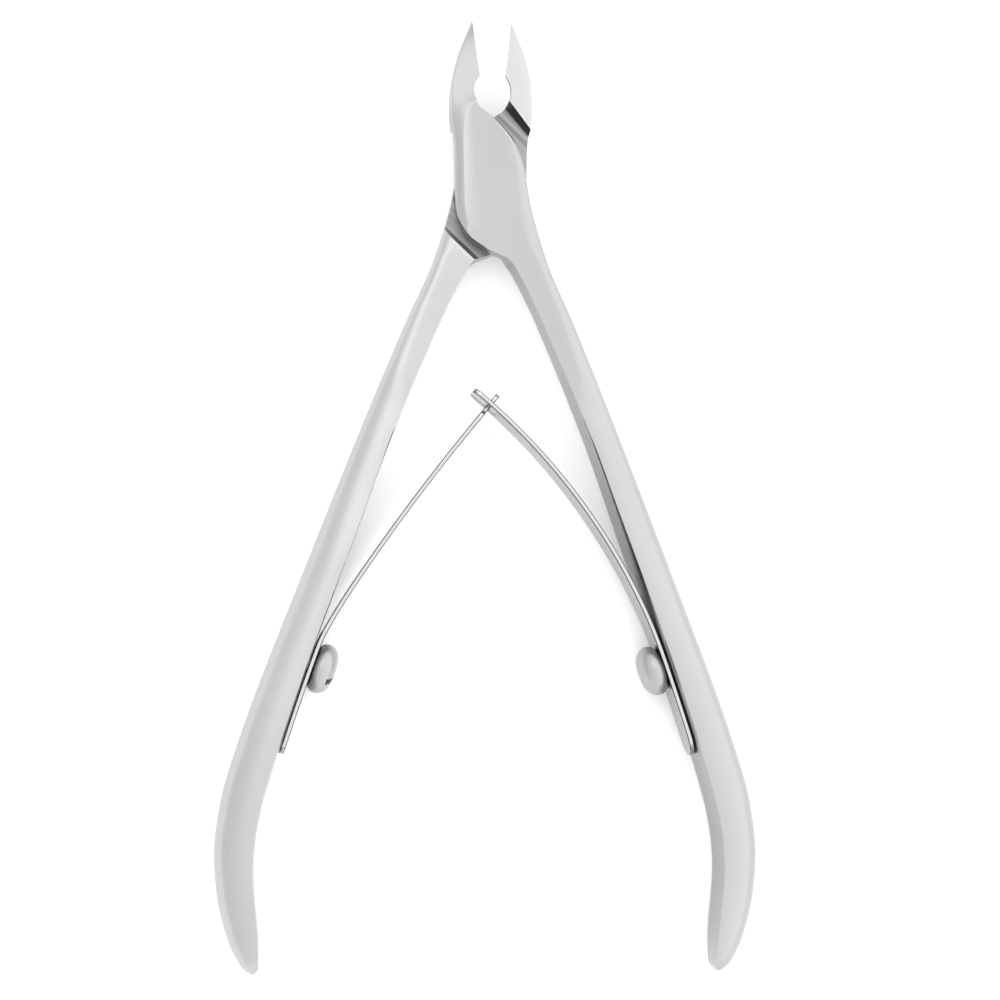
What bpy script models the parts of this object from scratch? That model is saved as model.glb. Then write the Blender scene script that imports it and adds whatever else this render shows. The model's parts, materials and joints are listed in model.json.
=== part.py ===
"""Cuticle nipper with a lap joint and a pair of interlocking leaf springs.

The nipper lies on its back and is modelled open, at its rest position.
+Y points to the jaw tips, +X to the right and +Z out of the front face.
Lengths are in millimetres until a mesh or a location is made, in metres.
Outlines are drawn about the pivot: x and y from the pivot axis, z from the lap plane.
"""

import math

import bmesh
import bpy
import numpy as np
from mathutils import Matrix, Vector

MM = 0.001

# Driving dimensions, in millimetres and degrees
PIVOT_Y = 33.95            # pivot axis, from the middle of the overall length
LAP_PLANE_Z = 3.5          # lap plane above the surface the nipper lies on
HALF_OPENING = 6.7         # angle that each lever turns to close
HALF_JOINT = 2.0           # half of the joint's thickness
LAP_GAP = 0.10             # gap between the two lapped plates
RUN_CLEARANCE = 0.05       # radial clearance of a screw in its hole
TIP_Y = 18.4               # jaw tip, ahead of the pivot
EDGE_BASE_Y = 12.1         # rear end of the cutting edge
EDGE_CLEARANCE = 0.02      # half of the gap left between the closed edges
THROAT_Y = 10.35           # centre of the oval throat behind the edges
THROAT_HALF_WIDTH = 2.08
THROAT_HALF_LENGTH = 2.4
HANDLE_END_Y = -86.3
LEAF_THICKNESS = 0.5
LEAF_WIDTH = 4.2
LEAF_GAP = 0.15            # gap between a leaf and the handle's inner wall
LEAF_ROOT_Y = -51.8        # where a leaf leaves the handle's inner wall
LEAF_FOOT_Y = -62.8        # lower end of a leaf
SPRING_SCREW_Y = -53.2
SPRING_HEAD_RADIUS = 2.75
SPRING_HEAD_HEIGHT = 2.45
SPRING_SLOT_TURN = 32.0    # turns both slots off the upright, front end towards the foot
SPRING_SHANK_RADIUS = 1.0
SPRING_SHANK_DEPTH = 2.6   # into the handle
PIVOT_HEAD_RADIUS = 2.45
PIVOT_HEAD_HEIGHT = 0.85
PIVOT_SHOULDER_RADIUS = 1.6
PIVOT_THREAD_RADIUS = 1.25
PIVOT_THREAD_LENGTH = 1.4
ROUND_SEGMENTS = 32

# Lever outline, drawn for the front lever: left jaw and right handle.
# Each pair is (y, x). The blunt side runs down the jaw's back, round the joint
# plate and on along the handle's flat inner wall.
BLUNT_SIDE = [
    (18.4, -2.32), (14.0, -3.92), (11.0, -4.45), (8.2, -4.53), (4.2, -4.12), (-2.0, -4.0),
    (-3.4, -3.85), (-4.7, -3.38), (-6.1, -2.55), (-7.05, -1.25), (-7.8, 0.1), (-8.2, 1.15),
    (-8.8, 2.05), (-10.2, 2.95), (-20.5, 7.72), (-28.5, 10.95), (-37.2, 14.05), (-57.1, 21.1),
    (-65.8, 23.8), (-69.0, 24.65), (-72.3, 25.2), (-75.0, 25.35), (-84.0, 24.7), (-85.6, 24.7),
    (-86.3, 25.1),
]
# The outer side starts at the throat and runs round the plate to the handle's outer side.
OUTER_SIDE = [
    (8.25, -1.0), (7.5, 0.05), (6.27, 1.37), (4.88, 2.5), (2.4, 3.5), (-2.1, 4.35), (-8.9, 6.4),
    (-15.0, 9.1), (-46.0, 21.37), (-57.0, 25.52), (-61.0, 26.9), (-68.5, 29.0), (-73.5, 29.53),
    (-77.4, 29.25), (-82.6, 28.0), (-84.6, 27.1), (-85.7, 26.4), (-86.3, 25.6),
]
# Half-thickness of the lever at its highest line, as (y, z)
CREST = [
    (18.4, 0.9), (12.6, 1.6), (8.8, 2.0), (-9.0, 2.0), (-33.5, 2.85), (-42.0, 3.45), (-47.0, 3.5),
    (-76.0, 3.5), (-82.0, 3.2), (-85.0, 2.3), (-86.3, 1.0),
]
# Half-height of the wall left on the outer side
OUTER_WALL = [(18.4, 1.1), (0.0, 1.1), (-6.0, 0.9), (-14.0, 0.5), (-80.0, 0.4), (-86.3, 0.3)]
# Half-height of the wall on the blunt side, and width of the bevel above it
BLUNT_WALL = [(18.4, 0.5), (12.6, 1.1), (8.0, 1.35), (-3.0, 1.35), (-6.5, 2.0), (-25.0, 2.45)]
BLUNT_BEVEL = [
    (18.4, 4.0), (10.0, 3.2), (8.8, 2.2), (7.4, 1.47), (4.0, 0.85), (-2.0, 0.9), (-4.6, 0.75),
    (-6.5, 0.0), (-86.3, 0.0),
]
JAW_FACET_END = 6.0        # the rear jaw's front is a single facet down to here
# Share of the width, from the blunt side, where the flat front ends and the crowned part starts
CROWN_START = [
    (18.4, 1.0), (4.0, 0.9), (-13.3, 0.66), (-20.6, 0.5), (-25.5, 0.03), (-86.3, 0.03),
]
CROWN_BREAK = 0.12         # share of the crown's drop that is a straight slope
CROWN_STEPS = [0.35, 0.62, 0.8, 0.92, 0.98, 1.0]
# Hollow back of the jaw: depth at the blunt side, and thickness left at the inner side
JAW_BACK = [(18.4, 0.35), (12.6, 1.2), (9.0, 2.0), (7.0, 2.0)]
JAW_EDGE = [(18.4, 0.2), (12.3, 0.3), (11.6, 0.6), (9.0, 1.2), (7.0, 1.5)]
JAW_HOLLOW_STARTS = 7.8
JAW_HOLLOW_FULL = 9.6
HOLLOW_POWER = 1.6
# Top edges of the shoulders cut in the rear lever's front, beside the right jaw and left handle
JAW_SHOULDER = [(2.06, 9.13), (4.29, 6.54)]
HANDLE_SHOULDER = [(-5.54, -5.48), (-1.36, -9.33)]
JAW_SHOULDER_SLOPE = 0.5   # how far the shoulder's foot stands in front of its top edge
HANDLE_SHOULDER_SLOPE = 0.9

# Leaf centre lines, from the root: (length, turn in degrees) of each stretch
FORK_LEAF_BENDS = [(4.5, 5.2), (16.5, 14.1), (15.0, 12.6)]
TONGUE_LEAF_BENDS = [(3.0, 10.1), (5.5, 4.2), (26.3, 6.4)]
FORK_SLOT_LENGTH = 3.6
FORK_SLOT_WIDTH = 2.0
TONGUE_LENGTH = 2.6
TONGUE_WIDTH = 1.6

STEEL = {
    "front_lever": (0.74, 0.74, 0.73, 0.30),
    "rear_lever": (0.76, 0.76, 0.75, 0.30),
    "pivot_screw": (0.62, 0.62, 0.62, 0.35),
    "leaf_spring_left": (0.70, 0.70, 0.69, 0.28),
    "leaf_spring_right": (0.70, 0.70, 0.69, 0.28),
    "spring_screw_left": (0.64, 0.64, 0.63, 0.38),
    "spring_screw_right": (0.64, 0.64, 0.63, 0.38),
}


def clear_scene():
    for item in list(bpy.data.objects):
        bpy.data.objects.remove(item, do_unlink=True)


def curve_at(points, where):
    """Value at `where` of a smooth curve through (position, value) points that never overshoots."""
    table = sorted(points)
    pos = np.array([p[0] for p in table])
    val = np.array([p[1] for p in table])
    step = np.diff(pos)
    rise = np.diff(val) / step
    slope = np.zeros(len(pos))
    slope[0] = rise[0]
    slope[-1] = rise[-1]
    for i in range(1, len(pos) - 1):
        if rise[i - 1] * rise[i] > 0.0:
            before = 2.0 * step[i] + step[i - 1]
            after = step[i] + 2.0 * step[i - 1]
            slope[i] = (before + after) / (before / rise[i - 1] + after / rise[i])
    i = int(np.clip(np.searchsorted(pos, where) - 1, 0, len(step) - 1))
    t = float(np.clip((where - pos[i]) / step[i], 0.0, 1.0))
    return float(
        val[i] * (1.0 + 2.0 * t) * (1.0 - t) ** 2
        + slope[i] * step[i] * t * (1.0 - t) ** 2
        + val[i + 1] * t * t * (3.0 - 2.0 * t)
        + slope[i + 1] * step[i] * t * t * (t - 1.0)
    )


def steel_material(name):
    red, green, blue, roughness = STEEL[name]
    material = bpy.data.materials.new(name + "_steel")
    material.use_nodes = True
    shader = material.node_tree.nodes["Principled BSDF"]
    shader.inputs["Base Color"].default_value = (red, green, blue, 1.0)
    shader.inputs["Metallic"].default_value = 1.0
    shader.inputs["Roughness"].default_value = roughness
    return material


def new_object(name, bm, location):
    """Make a mesh object from a bmesh in millimetres, with its origin at `location`."""
    bmesh.ops.recalc_face_normals(bm, faces=bm.faces)
    bmesh.ops.scale(bm, vec=(MM, MM, MM), verts=bm.verts)
    mesh = bpy.data.meshes.new(name)
    bm.to_mesh(mesh)
    bm.free()
    item = bpy.data.objects.new(name, mesh)
    item.location = Vector(location) * MM
    bpy.context.scene.collection.objects.link(item)
    return item


def finish_object(item):
    item.data.materials.append(steel_material(item.name))
    item.data.shade_smooth()
    item.data.set_sharp_from_angle(angle=math.radians(28.0))


def cut(item, cutter):
    """Subtract a guide object from an item and keep the guide as a wire."""
    cutter.hide_render = True
    cutter.display_type = "WIRE"
    modifier = item.modifiers.new(cutter.name, "BOOLEAN")
    modifier.operation = "DIFFERENCE"
    modifier.solver = "EXACT"
    modifier.object = cutter


def inner_side_x(y):
    """The side of the front lever that faces the other jaw, the throat and then the outer side."""
    if y <= OUTER_SIDE[0][0]:
        return curve_at(OUTER_SIDE, y)
    edge = y * math.tan(math.radians(HALF_OPENING)) + EDGE_CLEARANCE
    rise = (y - THROAT_Y) / THROAT_HALF_LENGTH
    throat = THROAT_HALF_WIDTH * math.sqrt(max(1.0 - rise * rise, 0.0))
    return -max(edge, throat) if y > THROAT_Y else -throat


def surface_height(share, y, width, bevel):
    """Height of the surface at a share of the width, with the bevel over its first part."""
    crest = curve_at(CREST, y)
    if share <= bevel:
        wall = min(curve_at(BLUNT_WALL, y), crest)
        return wall + (crest - wall) * share / bevel
    crown = curve_at(CROWN_START, y)
    if share <= crown or crown > 0.97:
        return crest
    t = (share - crown) / (1.0 - crown)
    round_drop = 1.0 - (1.0 - t ** 2.6) ** (1.0 / 2.1)
    drop = CROWN_BREAK * t + (1.0 - CROWN_BREAK) * round_drop
    return crest - (crest - min(curve_at(OUTER_WALL, y), crest)) * drop


def back_height(share, y, plain):
    """Height of the back surface: a plain height, but hollow behind the jaw."""
    hollow = (y - JAW_HOLLOW_STARTS) / (JAW_HOLLOW_FULL - JAW_HOLLOW_STARTS)
    hollow = min(max(hollow, 0.0), 1.0)
    if hollow == 0.0:
        return plain
    back = -curve_at(JAW_BACK, y)
    edge = curve_at(CREST, y) - curve_at(JAW_EDGE, y)
    ground = back + (edge - back) * share ** HOLLOW_POWER
    return (1.0 - hollow) * plain + hollow * ground


def width_shares(y, width):
    """Shares of the width that one cross-section is built from, with a point on every ridge."""
    bevel = min(max(curve_at(BLUNT_BEVEL, y) / width, 0.08), 0.6)
    crown = min(max(curve_at(CROWN_START, y), bevel + 0.08), 0.94)
    shares = [0.0, 0.5 * bevel, bevel, 0.5 * (bevel + crown), crown]
    shares += [crown + (1.0 - crown) * step for step in CROWN_STEPS]
    return shares


def section_rows():
    """Heights along Y of the cross-sections, closest where the outline turns fastest."""
    stretches = [
        (TIP_Y, EDGE_BASE_Y + 0.02, 7), (EDGE_BASE_Y - 0.02, 8.35, 9), (8.25, 6.3, 7), (5.6, -6.0, 11),
        (-6.4, -10.2, 9), (-11.5, -46.0, 14), (-50.0, -62.0, 4), (-64.0, -82.0, 11),
        (-83.2, HANDLE_END_Y, 6),
    ]
    rows = []
    for start, end, count in stretches:
        rows += list(np.linspace(start, end, count))
    return rows


def lever_blank(name, side):
    """Full-thickness lever. Side 1 has the left jaw and right handle, side -1 is its mirror."""
    bm = bmesh.new()
    loops = []
    for y in section_rows():
        blunt = curve_at(BLUNT_SIDE, y)
        width = inner_side_x(y) - blunt
        shares = width_shares(y, width)
        bevel = min(max(curve_at(BLUNT_BEVEL, y) / width, 1e-6), 1.0)
        front_bevel = 1.0 if side < 0 and y > JAW_FACET_END else bevel
        tops = [surface_height(share, y, width, front_bevel) for share in shares]
        bottoms = [back_height(share, y, -surface_height(share, y, width, bevel)) for share in shares]
        xs = [side * (blunt + width * share) for share in shares]
        loop = [bm.verts.new((x, y, z)) for x, z in zip(xs, tops)]
        loop += [bm.verts.new((x, y, z)) for x, z in zip(reversed(xs), reversed(bottoms))]
        loops.append(loop)
    for one, other in zip(loops, loops[1:]):
        bmesh.ops.bridge_loops(bm, edges=loop_edges(bm, one) + loop_edges(bm, other))
    bm.faces.new(loops[0])
    bm.faces.new(loops[-1])
    return new_object(name, bm, (0.0, PIVOT_Y, LAP_PLANE_Z))


def loop_edges(bm, loop):
    edges = []
    for one, other in zip(loop, loop[1:] + loop[:1]):
        edge = bm.edges.get((one, other))
        edges.append(edge if edge else bm.edges.new((one, other)))
    return edges


def shoulder_line(points, slope, depth, reach=6.0):
    """A shoulder's edge at a depth below its top, moved towards the pivot by its slope."""
    start = Vector(points[0])
    end = Vector(points[1])
    along = (end - start).normalized()
    inward = Vector((along.y, -along.x))
    if inward.dot(-start) < 0.0:
        inward = -inward
    shift = inward * slope * depth / HALF_JOINT
    return [start - along * reach + shift, end + along * reach + shift]


def lap_cutter(name, side):
    """Block that removes one half of a lever's joint: the back of side 1, the front of side -1."""
    bm = bmesh.new()
    levels = [(HALF_JOINT + 0.5 * LAP_GAP, -0.5 * LAP_GAP), (-2.0 * HALF_JOINT, 3.0 * HALF_JOINT)]
    loops = []
    for depth, height in levels:
        jaw = shoulder_line(JAW_SHOULDER, JAW_SHOULDER_SLOPE, depth)
        handle = shoulder_line(HANDLE_SHOULDER, HANDLE_SHOULDER_SLOPE, depth)
        corners = [jaw[0], jaw[1], handle[1], handle[0]]
        loops.append([bm.verts.new((-side * p.x, p.y, -side * height)) for p in corners])
    bm.faces.new(loops[0])
    bm.faces.new(loops[1])
    for i in range(4):
        j = (i + 1) % 4
        bm.faces.new([loops[0][i], loops[0][j], loops[1][j], loops[1][i]])
    return new_object(name, bm, (0.0, PIVOT_Y, LAP_PLANE_Z))


def turned_solid(bm, profile):
    """Solid of revolution about Z from (radius, height) points, bottom to top."""
    rings = []
    for radius, height in profile:
        ring = []
        for i in range(ROUND_SEGMENTS):
            angle = 2.0 * math.pi * i / ROUND_SEGMENTS
            ring.append(bm.verts.new((radius * math.cos(angle), radius * math.sin(angle), height)))
        rings.append(ring)
    for lower, upper in zip(rings, rings[1:]):
        for i in range(ROUND_SEGMENTS):
            j = (i + 1) % ROUND_SEGMENTS
            bm.faces.new([lower[i], lower[j], upper[j], upper[i]])
    bm.faces.new(list(reversed(rings[0])))
    bm.faces.new(rings[-1])


def round_cutter(name, profile, location, rotation=(0.0, 0.0, 0.0)):
    bm = bmesh.new()
    turned_solid(bm, profile)
    item = new_object(name, bm, location)
    item.rotation_euler = rotation
    return item


def slot_cutter(name, length, width, low, high, location, rotation):
    bm = bmesh.new()
    bmesh.ops.create_cube(bm, size=1.0)
    bmesh.ops.scale(bm, vec=(length, width, high - low), verts=bm.verts)
    bmesh.ops.translate(bm, vec=(0.0, 0.0, 0.5 * (low + high)), verts=bm.verts)
    item = new_object(name, bm, location)
    item.rotation_euler = rotation
    return item


def wall_frame(y, side):
    """Point on a handle's inner wall, its direction towards the joint and its inward normal."""
    upper = Vector((curve_at(BLUNT_SIDE, y + 1.0), y + 1.0))
    lower = Vector((curve_at(BLUNT_SIDE, y - 1.0), y - 1.0))
    along = (upper - lower).normalized()
    normal = Vector((-along.y, along.x))
    point = Vector((side * curve_at(BLUNT_SIDE, y), y))
    return point, Vector((side * along.x, along.y)), Vector((side * normal.x, normal.y))


def screw_pose(side, slot_turn=0.0):
    """Location and rotation that turn +Z into the handle wall's inward normal at its screw."""
    point, along, normal = wall_frame(SPRING_SCREW_Y, side)
    z_axis = Vector((normal.x, normal.y, 0.0))
    x_axis = Vector((along.x, along.y, 0.0))
    y_axis = z_axis.cross(x_axis)
    turn = Matrix((x_axis, y_axis, z_axis)).transposed() @ Matrix.Rotation(slot_turn, 3, "Z")
    return (point.x, point.y + PIVOT_Y, LAP_PLANE_Z), turn.to_euler()


def make_lever(name, side):
    lever = lever_blank(name, side)
    cut(lever, lap_cutter(name + "_lap_cutter", side))
    location, rotation = screw_pose(side)
    radius = SPRING_SHANK_RADIUS + RUN_CLEARANCE
    hole = [(radius, -SPRING_SHANK_DEPTH - 0.2), (radius, 2.0)]
    cut(lever, round_cutter(name + "_screw_hole", hole, location, rotation))
    return lever


def make_levers():
    front = make_lever("front_lever", 1)
    thread = PIVOT_THREAD_RADIUS + RUN_CLEARANCE
    blind = [(thread, -1.0), (thread, PIVOT_THREAD_LENGTH + 0.1)]
    centre = (0.0, PIVOT_Y, LAP_PLANE_Z)
    cut(front, round_cutter("pivot_thread_hole", blind, centre))
    finish_object(front)

    rear = make_lever("rear_lever", -1)
    shoulder = PIVOT_SHOULDER_RADIUS + RUN_CLEARANCE
    head = PIVOT_HEAD_RADIUS + RUN_CLEARANCE
    seat = -HALF_JOINT + PIVOT_HEAD_HEIGHT + 0.1
    bore = [(head, -HALF_JOINT - 1.0), (head, seat), (shoulder, seat), (shoulder, 1.0)]
    cut(rear, round_cutter("pivot_bore", bore, centre))
    finish_object(rear)


def make_pivot_screw():
    """Shouldered screw: head flush in the rear lever, thread blind in the front lever."""
    bottom = -HALF_JOINT + 0.05
    seat = bottom + PIVOT_HEAD_HEIGHT
    profile = [
        (PIVOT_HEAD_RADIUS - 0.15, bottom), (PIVOT_HEAD_RADIUS, bottom + 0.15), (PIVOT_HEAD_RADIUS, seat),
        (PIVOT_SHOULDER_RADIUS, seat), (PIVOT_SHOULDER_RADIUS, -0.05), (PIVOT_THREAD_RADIUS, -0.05),
        (PIVOT_THREAD_RADIUS, PIVOT_THREAD_LENGTH - 0.2), (PIVOT_THREAD_RADIUS - 0.2, PIVOT_THREAD_LENGTH),
    ]
    bm = bmesh.new()
    turned_solid(bm, profile)
    centre = (0.0, PIVOT_Y, LAP_PLANE_Z)
    screw = new_object("pivot_screw", bm, centre)
    turn = (0.0, 0.0, math.radians(35.0))
    slot = slot_cutter("pivot_slot", 6.0, 0.7, bottom - 1.0, bottom + 0.4, centre, turn)
    cut(screw, slot)
    finish_object(screw)


def make_spring_screw(name, side):
    """Slotted round-head screw, drawn standing on the leaf and turned onto the handle's wall."""
    under = LEAF_GAP + LEAF_THICKNESS + 0.1
    top = under + SPRING_HEAD_HEIGHT
    belly = under + 0.4 * SPRING_HEAD_HEIGHT
    tuck = 0.3 * SPRING_HEAD_RADIUS
    flat = 0.42 * SPRING_HEAD_RADIUS
    profile = [(SPRING_SHANK_RADIUS - 0.2, -SPRING_SHANK_DEPTH)]
    profile += [(SPRING_SHANK_RADIUS, 0.2 - SPRING_SHANK_DEPTH), (SPRING_SHANK_RADIUS, under)]
    for angle in (-75.0, -50.0, -25.0, 0.0):
        turn = math.radians(angle)
        radius = SPRING_HEAD_RADIUS - tuck + tuck * math.cos(turn)
        profile.append((radius, belly + (belly - under) * math.sin(turn)))
    for angle in (18.0, 36.0, 54.0, 70.0, 86.0):
        turn = math.radians(angle)
        radius = flat + (SPRING_HEAD_RADIUS - flat) * math.cos(turn)
        profile.append((radius, belly + (top - 0.1 - belly) * math.sin(turn)))
    profile.append((0.3 * flat, top))
    bm = bmesh.new()
    turned_solid(bm, profile)
    location, rotation = screw_pose(side)
    screw = new_object(name, bm, location)
    screw.rotation_euler = rotation
    location, rotation = screw_pose(side, -side * math.radians(SPRING_SLOT_TURN))
    slot = slot_cutter(name + "_slot", 0.72, 6.4, top - 0.75, top + 1.0, location, rotation)
    cut(screw, slot)
    finish_object(screw)


def leaf_path(side, bends):
    """Centre line of a leaf in plan, from its foot on the handle to its free end."""
    offset = LEAF_GAP + 0.5 * LEAF_THICKNESS
    path = []
    for y in np.linspace(LEAF_FOOT_Y, LEAF_ROOT_Y, 7):
        point, along, normal = wall_frame(y, side)
        path.append(point + normal * offset)
    heading = math.atan2(-side * along.x, along.y)
    here = path[-1].copy()
    for length, turn in bends:
        count = max(2, round(length / 2.0))
        for _ in range(count):
            middle = heading + 0.5 * math.radians(turn) / count
            here = here + Vector((-side * math.sin(middle), math.cos(middle))) * (length / count)
            heading += math.radians(turn) / count
            path.append(here.copy())
    return path


def leaf_strip(name, side, path):
    """Strip of constant width along the path, with its origin where the leaf leaves the handle."""
    root = path[6]
    bm = bmesh.new()
    loops = []
    for i, point in enumerate(path):
        before = path[max(i - 1, 0)]
        after = path[min(i + 1, len(path) - 1)]
        along = (after - before).normalized()
        across = Vector((-along.y, along.x)) * (0.5 * LEAF_THICKNESS)
        half = 0.5 * LEAF_WIDTH
        corners = [(1, -half), (1, half), (-1, half), (-1, -half)]
        spots = [point - root + across * sign for sign, _ in corners]
        loops.append([bm.verts.new((p.x, p.y, c[1])) for p, c in zip(spots, corners)])
    for one, other in zip(loops, loops[1:]):
        for i in range(4):
            j = (i + 1) % 4
            bm.faces.new([one[i], one[j], other[j], other[i]])
    bm.faces.new(loops[0])
    bm.faces.new(loops[-1])
    return new_object(name, bm, (root.x, root.y + PIVOT_Y, LAP_PLANE_Z))


def end_frame(path):
    """Place and heading of the leaf's free end, for the cutters that shape it."""
    tip = path[-1]
    along = (path[-1] - path[-2]).normalized()
    return tip, math.atan2(along.y, along.x)


def box_cutter(name, tip, heading, low, high):
    """Box in the leaf end's own frame: X along the leaf from its tip, Y across, Z up."""
    bm = bmesh.new()
    bmesh.ops.create_cube(bm, size=1.0)
    size = [b - a for a, b in zip(low, high)]
    middle = [0.5 * (a + b) for a, b in zip(low, high)]
    bmesh.ops.scale(bm, vec=size, verts=bm.verts)
    bmesh.ops.translate(bm, vec=middle, verts=bm.verts)
    item = new_object(name, bm, (tip.x, tip.y + PIVOT_Y, LAP_PLANE_Z))
    item.rotation_euler = (0.0, 0.0, heading)
    return item


def make_leaf(name, side, bends):
    path = leaf_path(side, bends)
    leaf = leaf_strip(name, side, path)
    location, rotation = screw_pose(side)
    radius = SPRING_SHANK_RADIUS + 0.1
    cut(leaf, round_cutter(name + "_hole", [(radius, -0.05), (radius, 2.0)], location, rotation))
    tip, heading = end_frame(path)
    if name == "leaf_spring_right":
        half = 0.5 * FORK_SLOT_WIDTH
        cut(leaf, box_cutter("fork_slot", tip, heading, (-FORK_SLOT_LENGTH, -1.0, -half), (1.0, 1.0, half)))
    else:
        half = 0.5 * TONGUE_WIDTH
        low = (-TONGUE_LENGTH, -1.0, half)
        high = (1.0, 1.0, LEAF_WIDTH)
        cut(leaf, box_cutter("tongue_front", tip, heading, low, high))
        low = (-TONGUE_LENGTH, -1.0, -LEAF_WIDTH)
        high = (1.0, 1.0, -half)
        cut(leaf, box_cutter("tongue_back", tip, heading, low, high))
    finish_object(leaf)


def main():
    clear_scene()
    make_levers()
    make_pivot_screw()
    make_leaf("leaf_spring_right", 1, FORK_LEAF_BENDS)
    make_leaf("leaf_spring_left", -1, TONGUE_LEAF_BENDS)
    make_spring_screw("spring_screw_right", 1)
    make_spring_screw("spring_screw_left", -1)


main()
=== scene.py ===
"""Looks of a cuticle nipper that lies open on a pale table.

The levers, leaf springs and screws are drawn in millimetres about the lever pivot: +Y to the
jaw tips, +X to the right and +Z out of the front face. They are placed in metres on the frame.
"""

import bisect
import json
import math

import bmesh
import bpy
from mathutils import Matrix, Vector


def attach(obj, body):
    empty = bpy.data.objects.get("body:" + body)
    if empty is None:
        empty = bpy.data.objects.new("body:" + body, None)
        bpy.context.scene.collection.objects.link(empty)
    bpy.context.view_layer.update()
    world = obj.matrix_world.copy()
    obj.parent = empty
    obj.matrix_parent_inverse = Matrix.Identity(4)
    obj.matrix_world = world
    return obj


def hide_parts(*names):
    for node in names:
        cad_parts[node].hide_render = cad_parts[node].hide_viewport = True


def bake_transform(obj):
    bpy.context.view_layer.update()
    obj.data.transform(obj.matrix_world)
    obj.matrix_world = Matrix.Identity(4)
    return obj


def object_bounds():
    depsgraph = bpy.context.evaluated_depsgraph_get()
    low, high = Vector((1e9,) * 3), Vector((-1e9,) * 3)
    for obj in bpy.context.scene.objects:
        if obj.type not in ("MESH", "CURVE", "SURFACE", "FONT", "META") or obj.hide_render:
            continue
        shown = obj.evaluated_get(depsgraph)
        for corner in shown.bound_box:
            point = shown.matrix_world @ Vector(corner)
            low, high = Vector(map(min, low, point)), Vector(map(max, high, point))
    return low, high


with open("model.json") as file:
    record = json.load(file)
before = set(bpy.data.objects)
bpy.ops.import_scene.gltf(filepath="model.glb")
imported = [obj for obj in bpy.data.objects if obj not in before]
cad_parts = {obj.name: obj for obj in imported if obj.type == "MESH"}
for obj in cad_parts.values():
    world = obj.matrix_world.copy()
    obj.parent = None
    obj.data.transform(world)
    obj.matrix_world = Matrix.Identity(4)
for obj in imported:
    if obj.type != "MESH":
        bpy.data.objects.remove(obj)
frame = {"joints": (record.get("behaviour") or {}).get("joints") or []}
CAD_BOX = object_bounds()

MM = 0.001
JOINTS = {joint["name"]: joint for joint in frame["joints"]}
PIVOT = Vector(JOINTS["lever_pivot"]["pos_m"])

# Driving dimensions, in millimetres and degrees
HALF_OPENING = 0.5 * JOINTS["lever_pivot"]["range_deg"][1]
HALF_JOINT = 2.0
LAP_GAP = 0.10
TIP_Y = 18.4
EDGE_BASE_Y = 12.1
EDGE_CLEARANCE = 0.02
THROAT_Y = 10.35
THROAT_HALF_WIDTH = 2.08
THROAT_HALF_LENGTH = 2.4
HANDLE_END_Y = -86.3
EDGE_RADIUS = 0.16         # rounding of the handles' and plates' long edges
RIDGE = 0.10               # half-width of the soft ridge between two facets
CHAMFER = 0.17             # broken edge along the top of each shoulder
HANDLE_WALL_SLOT = 3       # material slot of the handle shoulder's wall, whose steel is painted lighter

# Lever outline, drawn for the front lever: left jaw and right handle. Each pair is (y, x).
BLUNT_SIDE = [
    (18.4, -2.32), (14.0, -3.92), (11.0, -4.45), (8.2, -4.53), (4.2, -4.12), (-2.0, -4.0),
    (-3.4, -3.85), (-4.7, -3.38), (-6.1, -2.55), (-7.05, -1.25), (-7.8, 0.1), (-8.2, 1.15),
    (-8.8, 2.05), (-10.2, 2.95), (-20.5, 7.72), (-28.5, 10.95), (-37.2, 14.05), (-57.1, 21.1),
    (-65.8, 23.8), (-69.0, 24.65), (-72.3, 25.2), (-75.0, 25.35), (-84.0, 24.7), (-85.6, 24.7),
    (-86.3, 25.1),
]
OUTER_SIDE = [
    (8.25, -1.0), (7.5, 0.05), (6.27, 1.37), (4.88, 2.5), (2.4, 3.5), (-2.1, 4.35), (-8.9, 6.4),
    (-15.0, 9.1), (-46.0, 21.37), (-57.0, 25.52), (-61.0, 26.9), (-68.5, 29.0), (-73.5, 29.53),
    (-77.4, 29.25), (-82.6, 28.0), (-84.6, 27.1), (-85.7, 26.4), (-86.3, 25.6),
]
# Half-thickness at the highest line, and half-heights of the two side walls, as (y, z)
CREST = [
    (18.4, 0.9), (12.6, 1.6), (8.8, 2.0), (-9.0, 2.0), (-33.5, 2.85), (-42.0, 3.45), (-47.0, 3.5),
    (-76.0, 3.5), (-82.0, 3.2), (-85.0, 2.3), (-86.3, 1.0),
]
OUTER_WALL = [(18.4, 1.1), (0.0, 1.1), (-6.0, 0.9), (-14.0, 0.5), (-80.0, 0.4), (-86.3, 0.3)]
BLUNT_WALL = [(18.4, 0.5), (12.6, 1.1), (8.0, 1.35), (-3.0, 1.35), (-6.5, 2.0), (-25.0, 2.45)]
# Width of the bevel above the blunt wall, and share of the width where the crowned part starts
BLUNT_BEVEL = [
    (18.4, 4.0), (10.0, 3.2), (8.8, 2.2), (7.4, 1.47), (4.0, 0.85), (-2.0, 0.9), (-4.6, 0.75),
    (-6.5, 0.0), (-86.3, 0.0),
]
CROWN_START = [
    (18.4, 1.0), (4.0, 0.9), (-13.3, 0.66), (-20.6, 0.5), (-25.5, 0.03), (-86.3, 0.03),
]
JAW_FACET_END = 6.0        # the rear jaw's front is a single facet down to here
CROWN_BREAK = 0.12         # share of the crown's drop that is a straight slope
CROWN_STEPS = [0.12, 0.25, 0.38, 0.5, 0.61, 0.71, 0.8, 0.87, 0.93, 0.97, 0.99, 1.0]
# Hollow back of the jaw: depth at the blunt side, and thickness left at the inner side
JAW_BACK = [(18.4, 0.35), (12.6, 1.2), (9.0, 2.0), (7.0, 2.0)]
JAW_EDGE = [(18.4, 0.2), (12.3, 0.3), (11.6, 0.6), (9.0, 1.2), (7.0, 1.5)]
JAW_HOLLOW_STARTS = 7.8
JAW_HOLLOW_FULL = 9.6
HOLLOW_POWER = 1.6
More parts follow.
